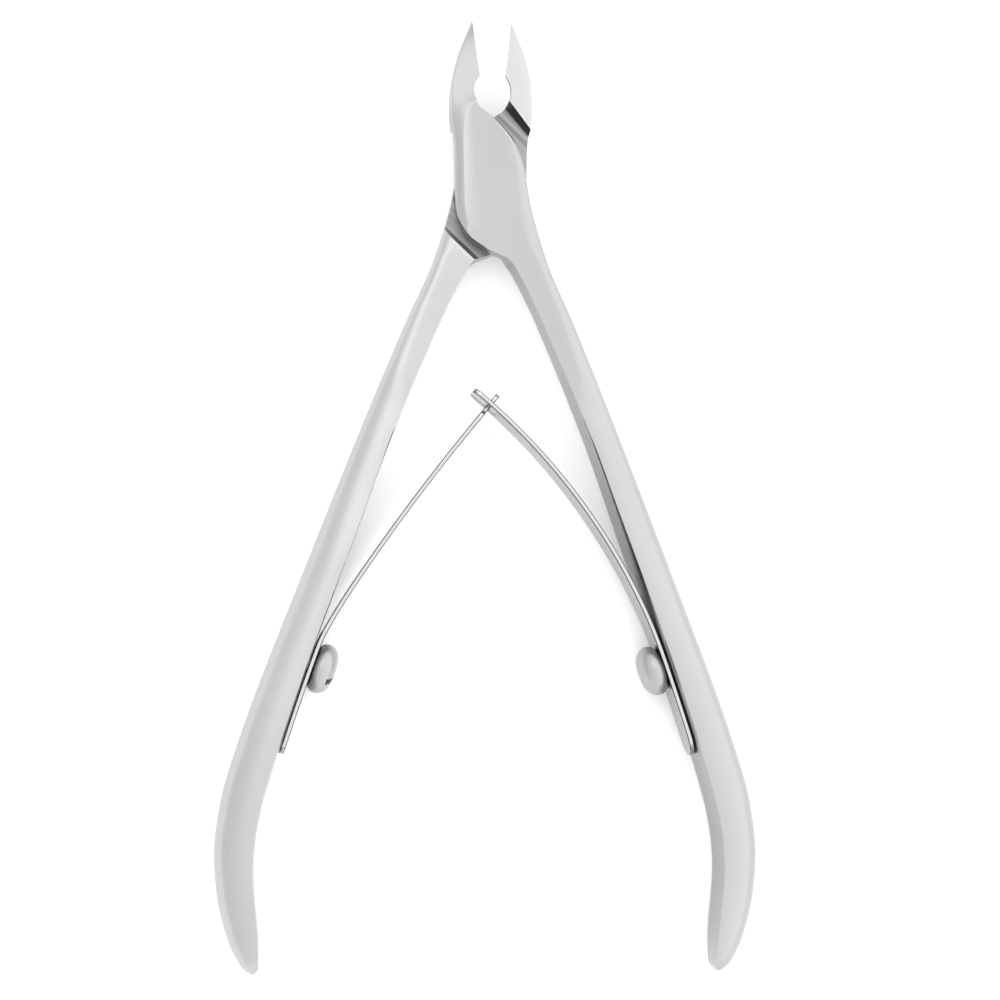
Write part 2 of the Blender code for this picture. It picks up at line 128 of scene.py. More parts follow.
# Top edges of the two shoulders in the rear lever's front, and how far each foot stands forward
JAW_SHOULDER = [(2.06, 9.13), (4.29, 6.54)]
HANDLE_SHOULDER = [(-5.54, -5.48), (-1.36, -9.33)]
JAW_SHOULDER_SLOPE = 0.5
HANDLE_SHOULDER_SLOPE = 0.9

# Cross-sections: (from y, to y, number), closest where the outline turns fastest
SECTION_RUNS = [
    (TIP_Y, EDGE_BASE_Y + 0.02, 28), (EDGE_BASE_Y - 0.02, 8.28, 38), (8.24, 6.3, 20), (6.15, -5.9, 70),
    (-6.0, -10.2, 46), (-10.5, -62.0, 160), (-62.4, -84.0, 70), (-84.2, HANDLE_END_Y, 16),
]

# Screws and leaf springs
PIVOT_HEAD_RADIUS = 2.45
PIVOT_HEAD_HEIGHT = 0.85
PIVOT_SHOULDER_RADIUS = 1.6
PIVOT_THREAD_RADIUS = 1.25
PIVOT_THREAD_LENGTH = 1.4
RUN_CLEARANCE = 0.05
SPRING_SCREW_Y = -53.2
SPRING_HEAD_RADIUS = 2.75
SPRING_HEAD_HEIGHT = 2.45
SPRING_SLOT_TURN = 32.0    # turns both slots off the upright, front end towards the foot
SPRING_SLOT_WIDTH = 0.72
SPRING_SLOT_DEPTH = 0.75
PIVOT_SLOT_TURN = 35.0
PIVOT_SLOT_WIDTH = 0.7
PIVOT_SLOT_DEPTH = 0.4
SPRING_SHANK_RADIUS = 1.0
SPRING_SHANK_DEPTH = 2.6
LEAF_THICKNESS = 0.5
LEAF_WIDTH = 4.2
LEAF_GAP = 0.15
LEAF_ROOT_Y = -51.8
CLAMPED_STEPS = 22         # steps of the centre line between a leaf's foot and its root
LEAF_FOOT_Y = -62.8
FORK_LEAF_BENDS = [(4.5, 5.2), (16.5, 14.1), (15.0, 12.6)]
TONGUE_LEAF_BENDS = [(3.0, 10.1), (5.5, 4.2), (26.3, 6.4)]
FORK_SLOT_LENGTH = 3.6
FORK_SLOT_WIDTH = 2.0
TONGUE_LENGTH = 2.6
TONGUE_WIDTH = 1.6
TIP_ROUNDING = 1.0         # corners of the leaves' free ends
LEAF_RIM = 0.09            # broken edge along a leaf
SHADED_BACK_LENGTH = 14.0      # stretch of a leaf's back, from its foot, that is painted dark as the shade between leaf and handle
ROUND_SEGMENTS = 96

HANDLE_TURN = math.radians(-21.0)  # grain along the handles
SHOULDER_TURN = math.radians(-46.0)  # grain along the shoulders

# Camera and light
CAMERA_AIM = Vector((1.19, -35.09, 0.0))
CAMERA_SIDE = Vector((-0.13, -0.097, 1.0))
CAMERA_DISTANCE = 275.0
CAMERA_ROLL = 0.0032
TABLE_GLOW = 0.12          # the table is a lightly backlit panel
SKY_HORIZON = 1.75
SKY_ZENITH = 1.7
SKY_SIDE = 0.4             # how much brighter the sky is far right than in the middle
BOX_SIZE = 0.5             # side of each soft box, in metres
LEFT_BOX_PLACE = (-0.24, 0.40, 0.80)
LEFT_BOX_POWER = 0.50
RIGHT_BOX_PLACE = (0.38, 0.45, 0.70)
RIGHT_BOX_POWER = 0.16
STEEL_WARMTH = 0.004


class Curve:
    """Smooth curve through (position, value) points that never overshoots them."""

    def __init__(self, points):
        table = sorted(points)
        self.pos = [p[0] for p in table]
        self.val = [p[1] for p in table]
        step = [b - a for a, b in zip(self.pos, self.pos[1:])]
        rise = [(b - a) / s for a, b, s in zip(self.val, self.val[1:], step)]
        self.slope = [rise[0]] + [0.0] * (len(table) - 2) + [rise[-1]]
        for i in range(1, len(table) - 1):
            if rise[i - 1] * rise[i] > 0.0:
                before = 2.0 * step[i] + step[i - 1]
                after = step[i] + 2.0 * step[i - 1]
                self.slope[i] = (before + after) / (before / rise[i - 1] + after / rise[i])

    def __call__(self, where):
        i = min(max(bisect.bisect_right(self.pos, where) - 1, 0), len(self.pos) - 2)
        step = self.pos[i + 1] - self.pos[i]
        t = min(max((where - self.pos[i]) / step, 0.0), 1.0)
        return (
            self.val[i] * (1.0 + 2.0 * t) * (1.0 - t) ** 2
            + self.slope[i] * step * t * (1.0 - t) ** 2
            + self.val[i + 1] * t * t * (3.0 - 2.0 * t)
            + self.slope[i + 1] * step * t * t * (t - 1.0)
        )


blunt_side = Curve(BLUNT_SIDE)
outer_side = Curve(OUTER_SIDE)
crest_height = Curve(CREST)
outer_wall = Curve(OUTER_WALL)
blunt_wall = Curve(BLUNT_WALL)
blunt_bevel = Curve(BLUNT_BEVEL)
crown_start = Curve(CROWN_START)
jaw_back = Curve(JAW_BACK)
jaw_edge = Curve(JAW_EDGE)


# ---------------------------------------------------------------- meshes

def evenly(start, end, count):
    return [start + (end - start) * i / (count - 1) for i in range(count)]


def new_piece(name, bm, materials):
    """Mesh object from a bmesh drawn in millimetres about the pivot."""
    bmesh.ops.recalc_face_normals(bm, faces=bm.faces)
    bm.transform(Matrix.Translation(PIVOT) @ Matrix.Scale(MM, 4))
    mesh = bpy.data.meshes.new(name)
    bm.to_mesh(mesh)
    bm.free()
    piece = bpy.data.objects.new(name, mesh)
    bpy.context.scene.collection.objects.link(piece)
    for material in materials:
        mesh.materials.append(material)
    return piece


def cut(piece, cutters):
    """Subtract the cutters, keeping their material on the new faces, and remove them."""
    for cutter in cutters:
        modifier = piece.modifiers.new("cut", "BOOLEAN")
        modifier.operation = "DIFFERENCE"
        modifier.solver = "EXACT"
        modifier.material_mode = "TRANSFER"
        modifier.object = cutter
    bpy.context.view_layer.update()
    graph = bpy.context.evaluated_depsgraph_get()
    result = bpy.data.meshes.new_from_object(piece.evaluated_get(graph), depsgraph=graph)
    piece.modifiers.clear()
    piece.data = result
    result.name = piece.name
    for cutter in cutters:
        bpy.data.objects.remove(cutter, do_unlink=True)


def mark_edges(piece, full_angle):
    """Store how much each point stands on an outer edge, lightened as wear and a painted highlight, or
    lies in an inner corner, darkened as a painted shade.
    """
    mesh = piece.data
    bm = bmesh.new()
    bm.from_mesh(mesh)
    wear_and_highlight = [0.0] * len(bm.verts)
    corner_shade = [0.0] * len(bm.verts)
    for edge in bm.edges:
        if len(edge.link_faces) != 2:
            continue
        angle = edge.calc_face_angle_signed(0.0) / full_angle
        store = wear_and_highlight if angle > 0.0 else corner_shade
        for vert in edge.verts:
            store[vert.index] = max(store[vert.index], min(abs(angle), 1.0))
    bm.free()
    for name, values in [("edge_wear_and_highlight", wear_and_highlight), ("painted_corner_shade", corner_shade)]:
        layer = mesh.attributes.new(name, "FLOAT", "POINT")
        layer.data.foreach_set("value", values)


def finish_piece(piece, body, nodes, smooth_angle=32.0):
    piece.data.shade_smooth()
    piece.data.set_sharp_from_angle(angle=math.radians(smooth_angle))
    mark_edges(piece, math.radians(30.0))
    if body:
        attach(piece, body)
    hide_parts(*nodes)


def turned_solid(bm, profile):
    """Solid of revolution about Z from (radius, height) points, bottom to top."""
    rings = []
    for radius, height in profile:
        ring = []
        for i in range(ROUND_SEGMENTS):
            angle = 2.0 * math.pi * i / ROUND_SEGMENTS
            ring.append(bm.verts.new((radius * math.cos(angle), radius * math.sin(angle), height)))
        rings.append(ring)
    for lower, upper in zip(rings, rings[1:]):
        for i in range(ROUND_SEGMENTS):
            j = (i + 1) % ROUND_SEGMENTS
            bm.faces.new([lower[i], lower[j], upper[j], upper[i]])
    bm.faces.new(list(reversed(rings[0])))
    bm.faces.new(rings[-1])


def turned_cutter(name, profile, pose, material):
    bm = bmesh.new()
    turned_solid(bm, profile)
    bm.transform(pose)
    return new_piece(name, bm, [material])


def box_cutter(name, low, high, pose, material):
    bm = bmesh.new()
    bmesh.ops.create_cube(bm, size=1.0)
    low = Vector(low)
    high = Vector(high)
    bmesh.ops.scale(bm, vec=high - low, verts=bm.verts)
    bmesh.ops.translate(bm, vec=0.5 * (low + high), verts=bm.verts)
    bm.transform(pose)
    return new_piece(name, bm, [material])


# ---------------------------------------------------------------- levers

def edge_distance(y):
    """How far the open cutting edge's line stands from the middle of the nipper."""
    return y * math.tan(math.radians(HALF_OPENING)) + EDGE_CLEARANCE


def facet_width(y, side):
    """Width of the front facet beside the blunt wall, as if the throat weren't cut out of it."""
    full = -edge_distance(y) - blunt_side(y)
    return full if side < 0 and y > JAW_FACET_END else min(blunt_bevel(y), full)


def inner_side_x(y):
    """The side of the front lever that faces the other jaw, the throat and then the outer side."""
    if y <= OUTER_SIDE[0][0]:
        return outer_side(y)
    edge = edge_distance(y)
    rise = (y - THROAT_Y) / THROAT_HALF_LENGTH
    throat = THROAT_HALF_WIDTH * math.sqrt(max(1.0 - rise * rise, 0.0))
    return -max(edge, throat) if y > THROAT_Y else -throat


def surface_height(share, y, bevel):
    """Height of the surface at a share of the width, with the bevel over its first part."""
    crest = crest_height(y)
    if share <= bevel:
        wall = min(blunt_wall(y), crest)
        return wall + (crest - wall) * share / bevel
    crown = crown_start(y)
    if share <= crown or crown > 0.97:
        return crest
    t = (share - crown) / (1.0 - crown)
    round_drop = 1.0 - (1.0 - t ** 2.6) ** (1.0 / 2.1)
    drop = CROWN_BREAK * t + (1.0 - CROWN_BREAK) * round_drop
    return crest - (crest - min(outer_wall(y), crest)) * drop


def back_height(share, y, plain):
    """Height of the back surface: a plain height, but hollow behind the jaw."""
    hollow = (y - JAW_HOLLOW_STARTS) / (JAW_HOLLOW_FULL - JAW_HOLLOW_STARTS)
    hollow = min(max(hollow, 0.0), 1.0)
    if hollow == 0.0:
        return plain
    back = -jaw_back(y)
    edge = crest_height(y) - jaw_edge(y)
    ground = back + (edge - back) * share ** HOLLOW_POWER
    return (1.0 - hollow) * plain + hollow * ground


def width_shares(y, width):
    """Shares of the width that one cross-section is built from, with two points on every ridge."""
    ridge = min(RIDGE / width, 0.03)
    bevel = min(max(blunt_bevel(y) / width, 0.08), 0.75)
    crown = min(max(crown_start(y), bevel + 0.12), 0.9)
    shares = [0.0, 0.5 * bevel, bevel - ridge, bevel + ridge]
    shares += [bevel + (crown - bevel) * step for step in (0.25, 0.5, 0.75)]
    shares += [crown - ridge, crown + ridge]
    return shares + [crown + ridge + (1.0 - crown - ridge) * step for step in CROWN_STEPS]


def rounded(before, corner, after, radius):
    """Four points that round a corner of a cross-section."""
    to_before = before - corner
    to_after = after - corner
    one = corner + to_before * min(radius / max(to_before.length, 1e-9), 0.45)
    two = corner + to_after * min(radius / max(to_after.length, 1e-9), 0.45)
    points = []
    for t in (0.0, 0.3, 0.7, 1.0):
        points.append(one * (1.0 - t) ** 2 + corner * (2.0 * t * (1.0 - t)) + two * t * t)
    return points


def cross_section(y, side):
    """Closed loop of (x, z) points, from the blunt side over the front and back underneath."""
    blunt = blunt_side(y)
    width = inner_side_x(y) - blunt
    bevel = min(max(blunt_bevel(y) / width, 1e-6), 1.0)
    front_bevel = max(facet_width(y, side) / width, 1e-6)
    tops = []
    lows = []
    for share in width_shares(y, width):
        x = blunt + width * share
        tops.append(Vector((x, surface_height(share, y, front_bevel))))
        lows.append(Vector((x, back_height(share, y, -surface_height(share, y, bevel)))))
    loop = rounded(lows[0], tops[0], tops[1], EDGE_RADIUS) + tops[1:]
    loop += list(reversed(lows[1:]))
    return loop + rounded(lows[1], lows[0], tops[0], EDGE_RADIUS)


def lever_blank(name, side, steel, shade_paint):
    """Full-thickness lever whose throat wall takes the second, dark material: a painted shade.

    Side 1 has the left jaw and right handle, side -1 is its mirror.
    """
    bm = bmesh.new()
    loops = []
    for start, end, count in SECTION_RUNS:
        for y in evenly(start, end, count):
            loops.append([bm.verts.new((side * p.x, y, p.y)) for p in cross_section(y, side)])
    inner_wall = len(loops[0]) // 2 - 1
    for one, other in zip(loops, loops[1:]):
        in_throat = OUTER_SIDE[0][0] < one[0].co.y < EDGE_BASE_Y
        for i in range(len(one)):
            j = (i + 1) % len(one)
            face = bm.faces.new([one[i], one[j], other[j], other[i]])
            # the throat's inner wall takes the dark wall material: a painted shade
            face.material_index = 1 if in_throat and i == inner_wall else 0
    bm.faces.new(loops[0])
    bm.faces.new(loops[-1])
    return new_piece(name, bm, [steel, shade_paint])


def shoulder_line(points, slope, depth, reach=6.0):
    """A shoulder's edge at a depth below its top: sloped towards the pivot, chamfered at the top."""
    start = Vector(points[0])
    end = Vector(points[1])
    along = (end - start).normalized()
    inward = Vector((along.y, -along.x))
    if inward.dot(-start) < 0.0:
        inward = -inward
    shift = inward * (slope * depth / HALF_JOINT - max(CHAMFER - depth, 0.0))
    return [start - along * reach + shift, end + along * reach + shift]


def lap_cutter(name, side, materials):
    """Block that removes one half of a lever's joint: the back of side 1, the front of side -1.

    The materials are those of the milled floor, darkened partly by a painted shade, the jaw's steep wall,
    dark with a painted shade, the broken top edges and the handle's gentler wall, painted lighter.
    """
    bm = bmesh.new()
    loops = []
    for depth in (HALF_JOINT + 0.5 * LAP_GAP, CHAMFER, -2.0 * HALF_JOINT):
        height = HALF_JOINT - depth
        jaw = shoulder_line(JAW_SHOULDER, JAW_SHOULDER_SLOPE, depth)
        handle = shoulder_line(HANDLE_SHOULDER, HANDLE_SHOULDER_SLOPE, depth)
        corners = [jaw[0], jaw[1], handle[1], handle[0]]
        loops.append([bm.verts.new((-side * p.x, p.y, -side * height)) for p in corners])
    bm.faces.new(loops[0])
    bm.faces.new(loops[-1])
    for slot, (one, other) in enumerate(zip(loops, loops[1:])):
        for i in range(4):
            j = (i + 1) % 4
            face = bm.faces.new([one[i], one[j], other[j], other[i]])
            handle_wall = i == 2 and slot == 0
            face.material_index = HANDLE_WALL_SLOT if handle_wall else slot + 1
    return new_piece(name, bm, materials)


def wall_frame(y, side):
    """Point on a handle's inner wall, its direction towards the joint and its inward normal."""
    upper = Vector((blunt_side(y + 1.0), y + 1.0))
    lower = Vector((blunt_side(y - 1.0), y - 1.0))
    along = (upper - lower).normalized()
    normal = Vector((-along.y, along.x))
    point = Vector((side * blunt_side(y), y))
    return point, Vector((side * along.x, along.y)), Vector((side * normal.x, normal.y))


def screw_pose(side):
    """Turns +Z into the handle wall's inward normal and +X along the wall, at its screw."""
    point, along, normal = wall_frame(SPRING_SCREW_Y, side)
    z_axis = Vector((normal.x, normal.y, 0.0))
    x_axis = Vector((along.x, along.y, 0.0))
    turn = Matrix((x_axis, z_axis.cross(x_axis), z_axis)).transposed()
    return Matrix.Translation((point.x, point.y, 0.0)) @ turn.to_4x4()


def make_lever(name, side, steel, recess_milled_shaded, wall, slope, bore):
    lever = lever_blank(name, side, steel, wall)
    radius = SPRING_SHANK_RADIUS + RUN_CLEARANCE
    hole = [(radius, -SPRING_SHANK_DEPTH - 0.2), (radius, 2.0)]
    cutters = [
        lap_cutter("lap", side, [recess_milled_shaded, wall, steel, slope]),
        turned_cutter("hole", hole, screw_pose(side), recess_milled_shaded),
        turned_cutter("bore", bore, Matrix(), recess_milled_shaded),
    ]
    cut(lever, cutters)
    return lever


def make_levers(front_steel_painted_darker, rear_steel_painted_lighter, recess_milled_shaded, wall, slope):
    thread = PIVOT_THREAD_RADIUS + RUN_CLEARANCE
    blind = [(thread, -1.0), (thread, PIVOT_THREAD_LENGTH + 0.1)]
    front = make_lever("front_lever_body", 1, front_steel_painted_darker, recess_milled_shaded, wall, slope, blind)
    finish_piece(front, "front", ["front_lever"])
    shoulder = PIVOT_SHOULDER_RADIUS + RUN_CLEARANCE
    head = PIVOT_HEAD_RADIUS + RUN_CLEARANCE
    seat = -HALF_JOINT + PIVOT_HEAD_HEIGHT + 0.1
    rim = -HALF_JOINT + 0.1
    bore = [(head + 1.1, -HALF_JOINT - 0.9), (head, rim), (head, seat), (shoulder, seat), (shoulder, 1.0)]
    rear = make_lever("rear_lever_body", -1, rear_steel_painted_lighter, recess_milled_shaded, wall, slope, bore)
    finish_piece(rear, "rear", ["rear_lever"])


# ---------------------------------------------------------------- screws

def arc(centre, radii, start, end, count):
    """Points of an elliptic arc in a turned profile, as (radius, height), angles in degrees."""
    points = []
    for angle in evenly(math.radians(start), math.radians(end), count):
        points.append((centre[0] + radii[0] * math.cos(angle), centre[1] + radii[1] * math.sin(angle)))
    return points


def make_pivot_screw(steel):
    """Shouldered screw: head flush in the rear lever, thread blind in the front lever."""
    bottom = -HALF_JOINT + 0.05
    seat = bottom + PIVOT_HEAD_HEIGHT
    rim = 0.18
    profile = [(0.4, bottom + 0.02), (PIVOT_HEAD_RADIUS - rim - 0.3, bottom)]
    profile += arc((PIVOT_HEAD_RADIUS - rim, bottom + rim), (rim, rim), -90.0, 0.0, 7)
    profile += [(PIVOT_HEAD_RADIUS, seat), (PIVOT_SHOULDER_RADIUS, seat), (PIVOT_SHOULDER_RADIUS, -0.05)]
    profile += [(PIVOT_THREAD_RADIUS, -0.05), (PIVOT_THREAD_RADIUS, PIVOT_THREAD_LENGTH - 0.2)]
    profile += [(PIVOT_THREAD_RADIUS - 0.2, PIVOT_THREAD_LENGTH)]
    bm = bmesh.new()
    turned_solid(bm, profile)
    screw = new_piece("pivot_screw_turned", bm, [steel])
    turn = Matrix.Rotation(math.radians(PIVOT_SLOT_TURN), 4, "Z")
    half = 0.5 * PIVOT_SLOT_WIDTH
    low = (-3.0, -half, bottom - 1.0)
    high = (3.0, half, bottom + PIVOT_SLOT_DEPTH)
    slot = box_cutter("slot", low, high, turn, steel)
    cut(screw, [slot])
    finish_piece(screw, "front", ["pivot_screw"])


def make_spring_screw(node, side, body, steel):
    """Slotted button-head screw that stands on the leaf, rounded in towards its base."""
    under = LEAF_GAP + LEAF_THICKNESS + 0.02
    top = LEAF_GAP + LEAF_THICKNESS + 0.1 + SPRING_HEAD_HEIGHT
    belly = under + 0.4 * SPRING_HEAD_HEIGHT
    tuck = 0.3 * SPRING_HEAD_RADIUS
    flat = 0.42 * SPRING_HEAD_RADIUS
    profile = [(SPRING_SHANK_RADIUS - 0.2, -SPRING_SHANK_DEPTH)]
    profile += [(SPRING_SHANK_RADIUS, 0.2 - SPRING_SHANK_DEPTH), (SPRING_SHANK_RADIUS, under)]
    profile += arc((SPRING_HEAD_RADIUS - tuck, belly), (tuck, belly - under), -75.0, 0.0, 10)
    profile += arc((flat, belly), (SPRING_HEAD_RADIUS - flat, top - 0.12 - belly), 5.0, 86.0, 18)
    profile += [(0.6 * flat, top - 0.03), (0.2 * flat, top)]
    pose = screw_pose(side)
    bm = bmesh.new()
    turned_solid(bm, profile)
    bm.transform(pose)
    screw = new_piece(node + "_turned", bm, [steel])
    turn = pose @ Matrix.Rotation(-side * math.radians(SPRING_SLOT_TURN), 4, "Z")
    half = 0.5 * SPRING_SLOT_WIDTH
    slot = box_cutter("slot", (-half, -3.2, top - SPRING_SLOT_DEPTH), (half, 3.2, top + 1.0), turn, steel)
    cut(screw, [slot])
    finish_piece(screw, body, [node])


# ---------------------------------------------------------------- leaf springs

def leaf_path(side, bends):
    """Centre line of a leaf in plan as (distance, point, heading), from foot to free end."""
    offset = LEAF_GAP + 0.5 * LEAF_THICKNESS
    path = []
    travelled = 0.0
    for y in evenly(LEAF_FOOT_Y, LEAF_ROOT_Y, CLAMPED_STEPS + 1):
        point, along, normal = wall_frame(y, side)
        here = point + normal * offset
        if path:
            travelled += (here - path[-1][1]).length
        path.append((travelled, here, math.atan2(along.y, along.x)))
    heading = path[-1][2]
    for length, turn in bends:
        count = max(4, round(length / 0.5))
        for _ in range(count):
            bend = side * math.radians(turn) / count
            middle = heading + 0.5 * bend
            here = here + Vector((math.cos(middle), math.sin(middle))) * (length / count)
            heading += bend
            travelled += length / count
            path.append((travelled, here.copy(), heading))
    return path


def bend_along(bm, path, side):
    """Wrap a flat strip, drawn as (distance, width, thickness), round its centre line."""
    marks = [p[0] for p in path]
    for vert in bm.verts:
        distance = vert.co.x
        i = min(max(bisect.bisect_right(marks, distance) - 1, 0), len(path) - 2)
        share = (distance - marks[i]) / (marks[i + 1] - marks[i])
        point = path[i][1].lerp(path[i + 1][1], share)
        heading = path[i][2] + (path[i + 1][2] - path[i][2]) * share
        across = Vector((-math.sin(heading), math.cos(heading))) * side
        point = point + across * vert.co.z
        vert.co = (point.x, point.y, vert.co.y)


def round_end(centre, radius, inset, direction):
    """Stations (distance, half-width) of a rounded end, from its full width to its tip or back."""
    stations = []
    for angle in evenly(0.0, 80.0, 10):
        turn = math.radians(angle)
        stations.append((centre + direction * radius * math.sin(turn), inset + radius * math.cos(turn)))
    return stations


def strip_stations(length, tongue):
    """Outline of a flat leaf: a full-round foot, then either a fork's or a tongue's free end."""
    half = 0.5 * LEAF_WIDTH
    stations = list(reversed(round_end(half, half, 0.0, -1)))
    if tongue:
        shoulder = length - TONGUE_LENGTH
        width = 0.5 * TONGUE_WIDTH
        end = round_end(shoulder - TIP_ROUNDING, TIP_ROUNDING, half - TIP_ROUNDING, 1)
        end += [(shoulder, s) for s in (0.6 * half, width)]
        end += round_end(length - width, width, 0.0, 1)
    else:
        end = round_end(length - TIP_ROUNDING, TIP_ROUNDING, half - TIP_ROUNDING, 1)
    count = round((end[0][0] - half) / 0.5)
    stations += [(s, half) for s in evenly(half, end[0][0], count)[1:-1]]
    return stations + end


def flat_strip(stations):
    """Thin strip along +X. Its broken edges and the back of its foot take the second material, a dark
    painted shade.
    """
    thick = 0.5 * LEAF_THICKNESS
    bm = bmesh.new()
    loops = []
    for distance, width in stations:
        corners = []
        for w_sign, t_sign in ((1, 1), (1, -1), (-1, -1), (-1, 1)):
            one = (width - LEAF_RIM, thick)
            two = (width, thick - LEAF_RIM)
            order = [one, two] if w_sign * t_sign > 0 else [two, one]
            corners += [(distance, w_sign * w, t_sign * t) for w, t in order]
        loops.append([bm.verts.new(c) for c in corners])
    back = 3                   # side of the section that faces the handle
    for one, other in zip(loops, loops[1:]):
        for i in range(8):
            j = (i + 1) % 8
            face = bm.faces.new([one[i], one[j], other[j], other[i]])
            # the back near the foot and the broken edges take the dark material: a painted shade
            shaded_back = i == back and other[0].co.x < SHADED_BACK_LENGTH
            face.material_index = 1 if shaded_back or i % 2 == 0 else 0
    bm.faces.new(loops[0])
    bm.faces.new(loops[-1])
    return bm


def make_leaf(node, side, bends, steel, shade_paint):
    path = leaf_path(side, bends)
    length = path[-1][0]
    piece = new_piece(node + "_strip", flat_strip(strip_stations(length, side == -1)), [steel, shade_paint])
    if side == 1:
        half = 0.5 * FORK_SLOT_WIDTH
        start = length - FORK_SLOT_LENGTH
        cut(piece, [box_cutter("slot", (start, -half, -1.0), (length + 1.0, half, 1.0), Matrix(), steel)])
    bm = bmesh.new()
    bm.from_mesh(piece.data)
    bm.transform(Matrix.Scale(1.0 / MM, 4) @ Matrix.Translation(-PIVOT))
    bend_along(bm, path, side)
    bmesh.ops.recalc_face_normals(bm, faces=bm.faces)
    bm.transform(Matrix.Translation(PIVOT) @ Matrix.Scale(MM, 4))
    bm.to_mesh(piece.data)
    bm.free()
    finish_piece(piece, None, [node])
    start = PIVOT + Vector((*path[CLAMPED_STEPS][1], 0.0)) * MM
    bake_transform(piece)


# ---------------------------------------------------------------- materials

class Nodes:
    """Short way to add and link the nodes of one material."""

    def __init__(self, name):
        self.material = bpy.data.materials.new(name)
        self.material.use_nodes = True
        self.tree = self.material.node_tree
        self.shader = self.tree.nodes["Principled BSDF"]

    def add(self, kind, **settings):
        node = self.tree.nodes.new("ShaderNode" + kind)
        for key, value in settings.items():
            setattr(node, key, value)
        return node

    def link(self, source, target):
        self.tree.links.new(source, target)

    def fill(self, socket, value):
        if isinstance(value, bpy.types.NodeSocket):
            self.link(value, socket)
        else:
            socket.default_value = value

    def math(self, operation, one, two=0.0, clamp=False):
        node = self.add("Math", operation=operation, use_clamp=clamp)
        self.fill(node.inputs[0], one)
        self.fill(node.inputs[1], two)
        return node.outputs[0]

    def noise(self, scales, detail=2.0, turn=0.0, roughness=0.5):
        """Noise with its own scale along each axis, as features per metre."""
        place = self.add("TexCoord").outputs["Object"]
        rotate = self.add("Mapping")
        rotate.inputs["Rotation"].default_value = (0.0, 0.0, turn)
        self.link(place, rotate.inputs["Vector"])
        stretch = self.add("Mapping")
        stretch.inputs["Scale"].default_value = scales
        self.link(rotate.outputs[0], stretch.inputs["Vector"])
        texture = self.add("TexNoise")
        texture.inputs["Scale"].default_value = 1.0
        texture.inputs["Detail"].default_value = detail
        texture.inputs["Roughness"].default_value = roughness
        self.link(stretch.outputs[0], texture.inputs["Vector"])
        return texture.outputs["Fac"]

    def attribute(self, name):
        return self.add("Attribute", attribute_name=name).outputs["Fac"]

    def upright_mask(self):
        """1 on upright faces, falling to 0 where a face leans back by about 24 degrees."""
        split = self.add("SeparateXYZ")
        self.link(self.add("TexCoord").outputs["Normal"], split.inputs[0])
        lean = self.math("MULTIPLY", self.math("ABSOLUTE", split.outputs[2]), 2.5)
        return self.math("SUBTRACT", 1.0, lean, clamp=True)

    def mix_colour(self, factor, one, two):
        node = self.add("Mix", data_type="RGBA")
        self.fill(node.inputs[0], factor)
        self.fill(node.inputs[6], one)
        self.fill(node.inputs[7], two)
        return node.outputs[2]

    def remap(self, value, low, high):
        """Turn a noise value, which stays near 0.5, into the range from low to high."""
        node = self.add("MapRange")
        self.fill(node.inputs["Value"], value)
        node.inputs["From Min"].default_value = 0.3
        node.inputs["From Max"].default_value = 0.7
        node.inputs["To Min"].default_value = low
        node.inputs["To Max"].default_value = high
        return node.outputs["Result"]


def grey(value, warm=0.0):
    return (value * (1.0 + warm), value, value * (1.0 - warm), 1.0)


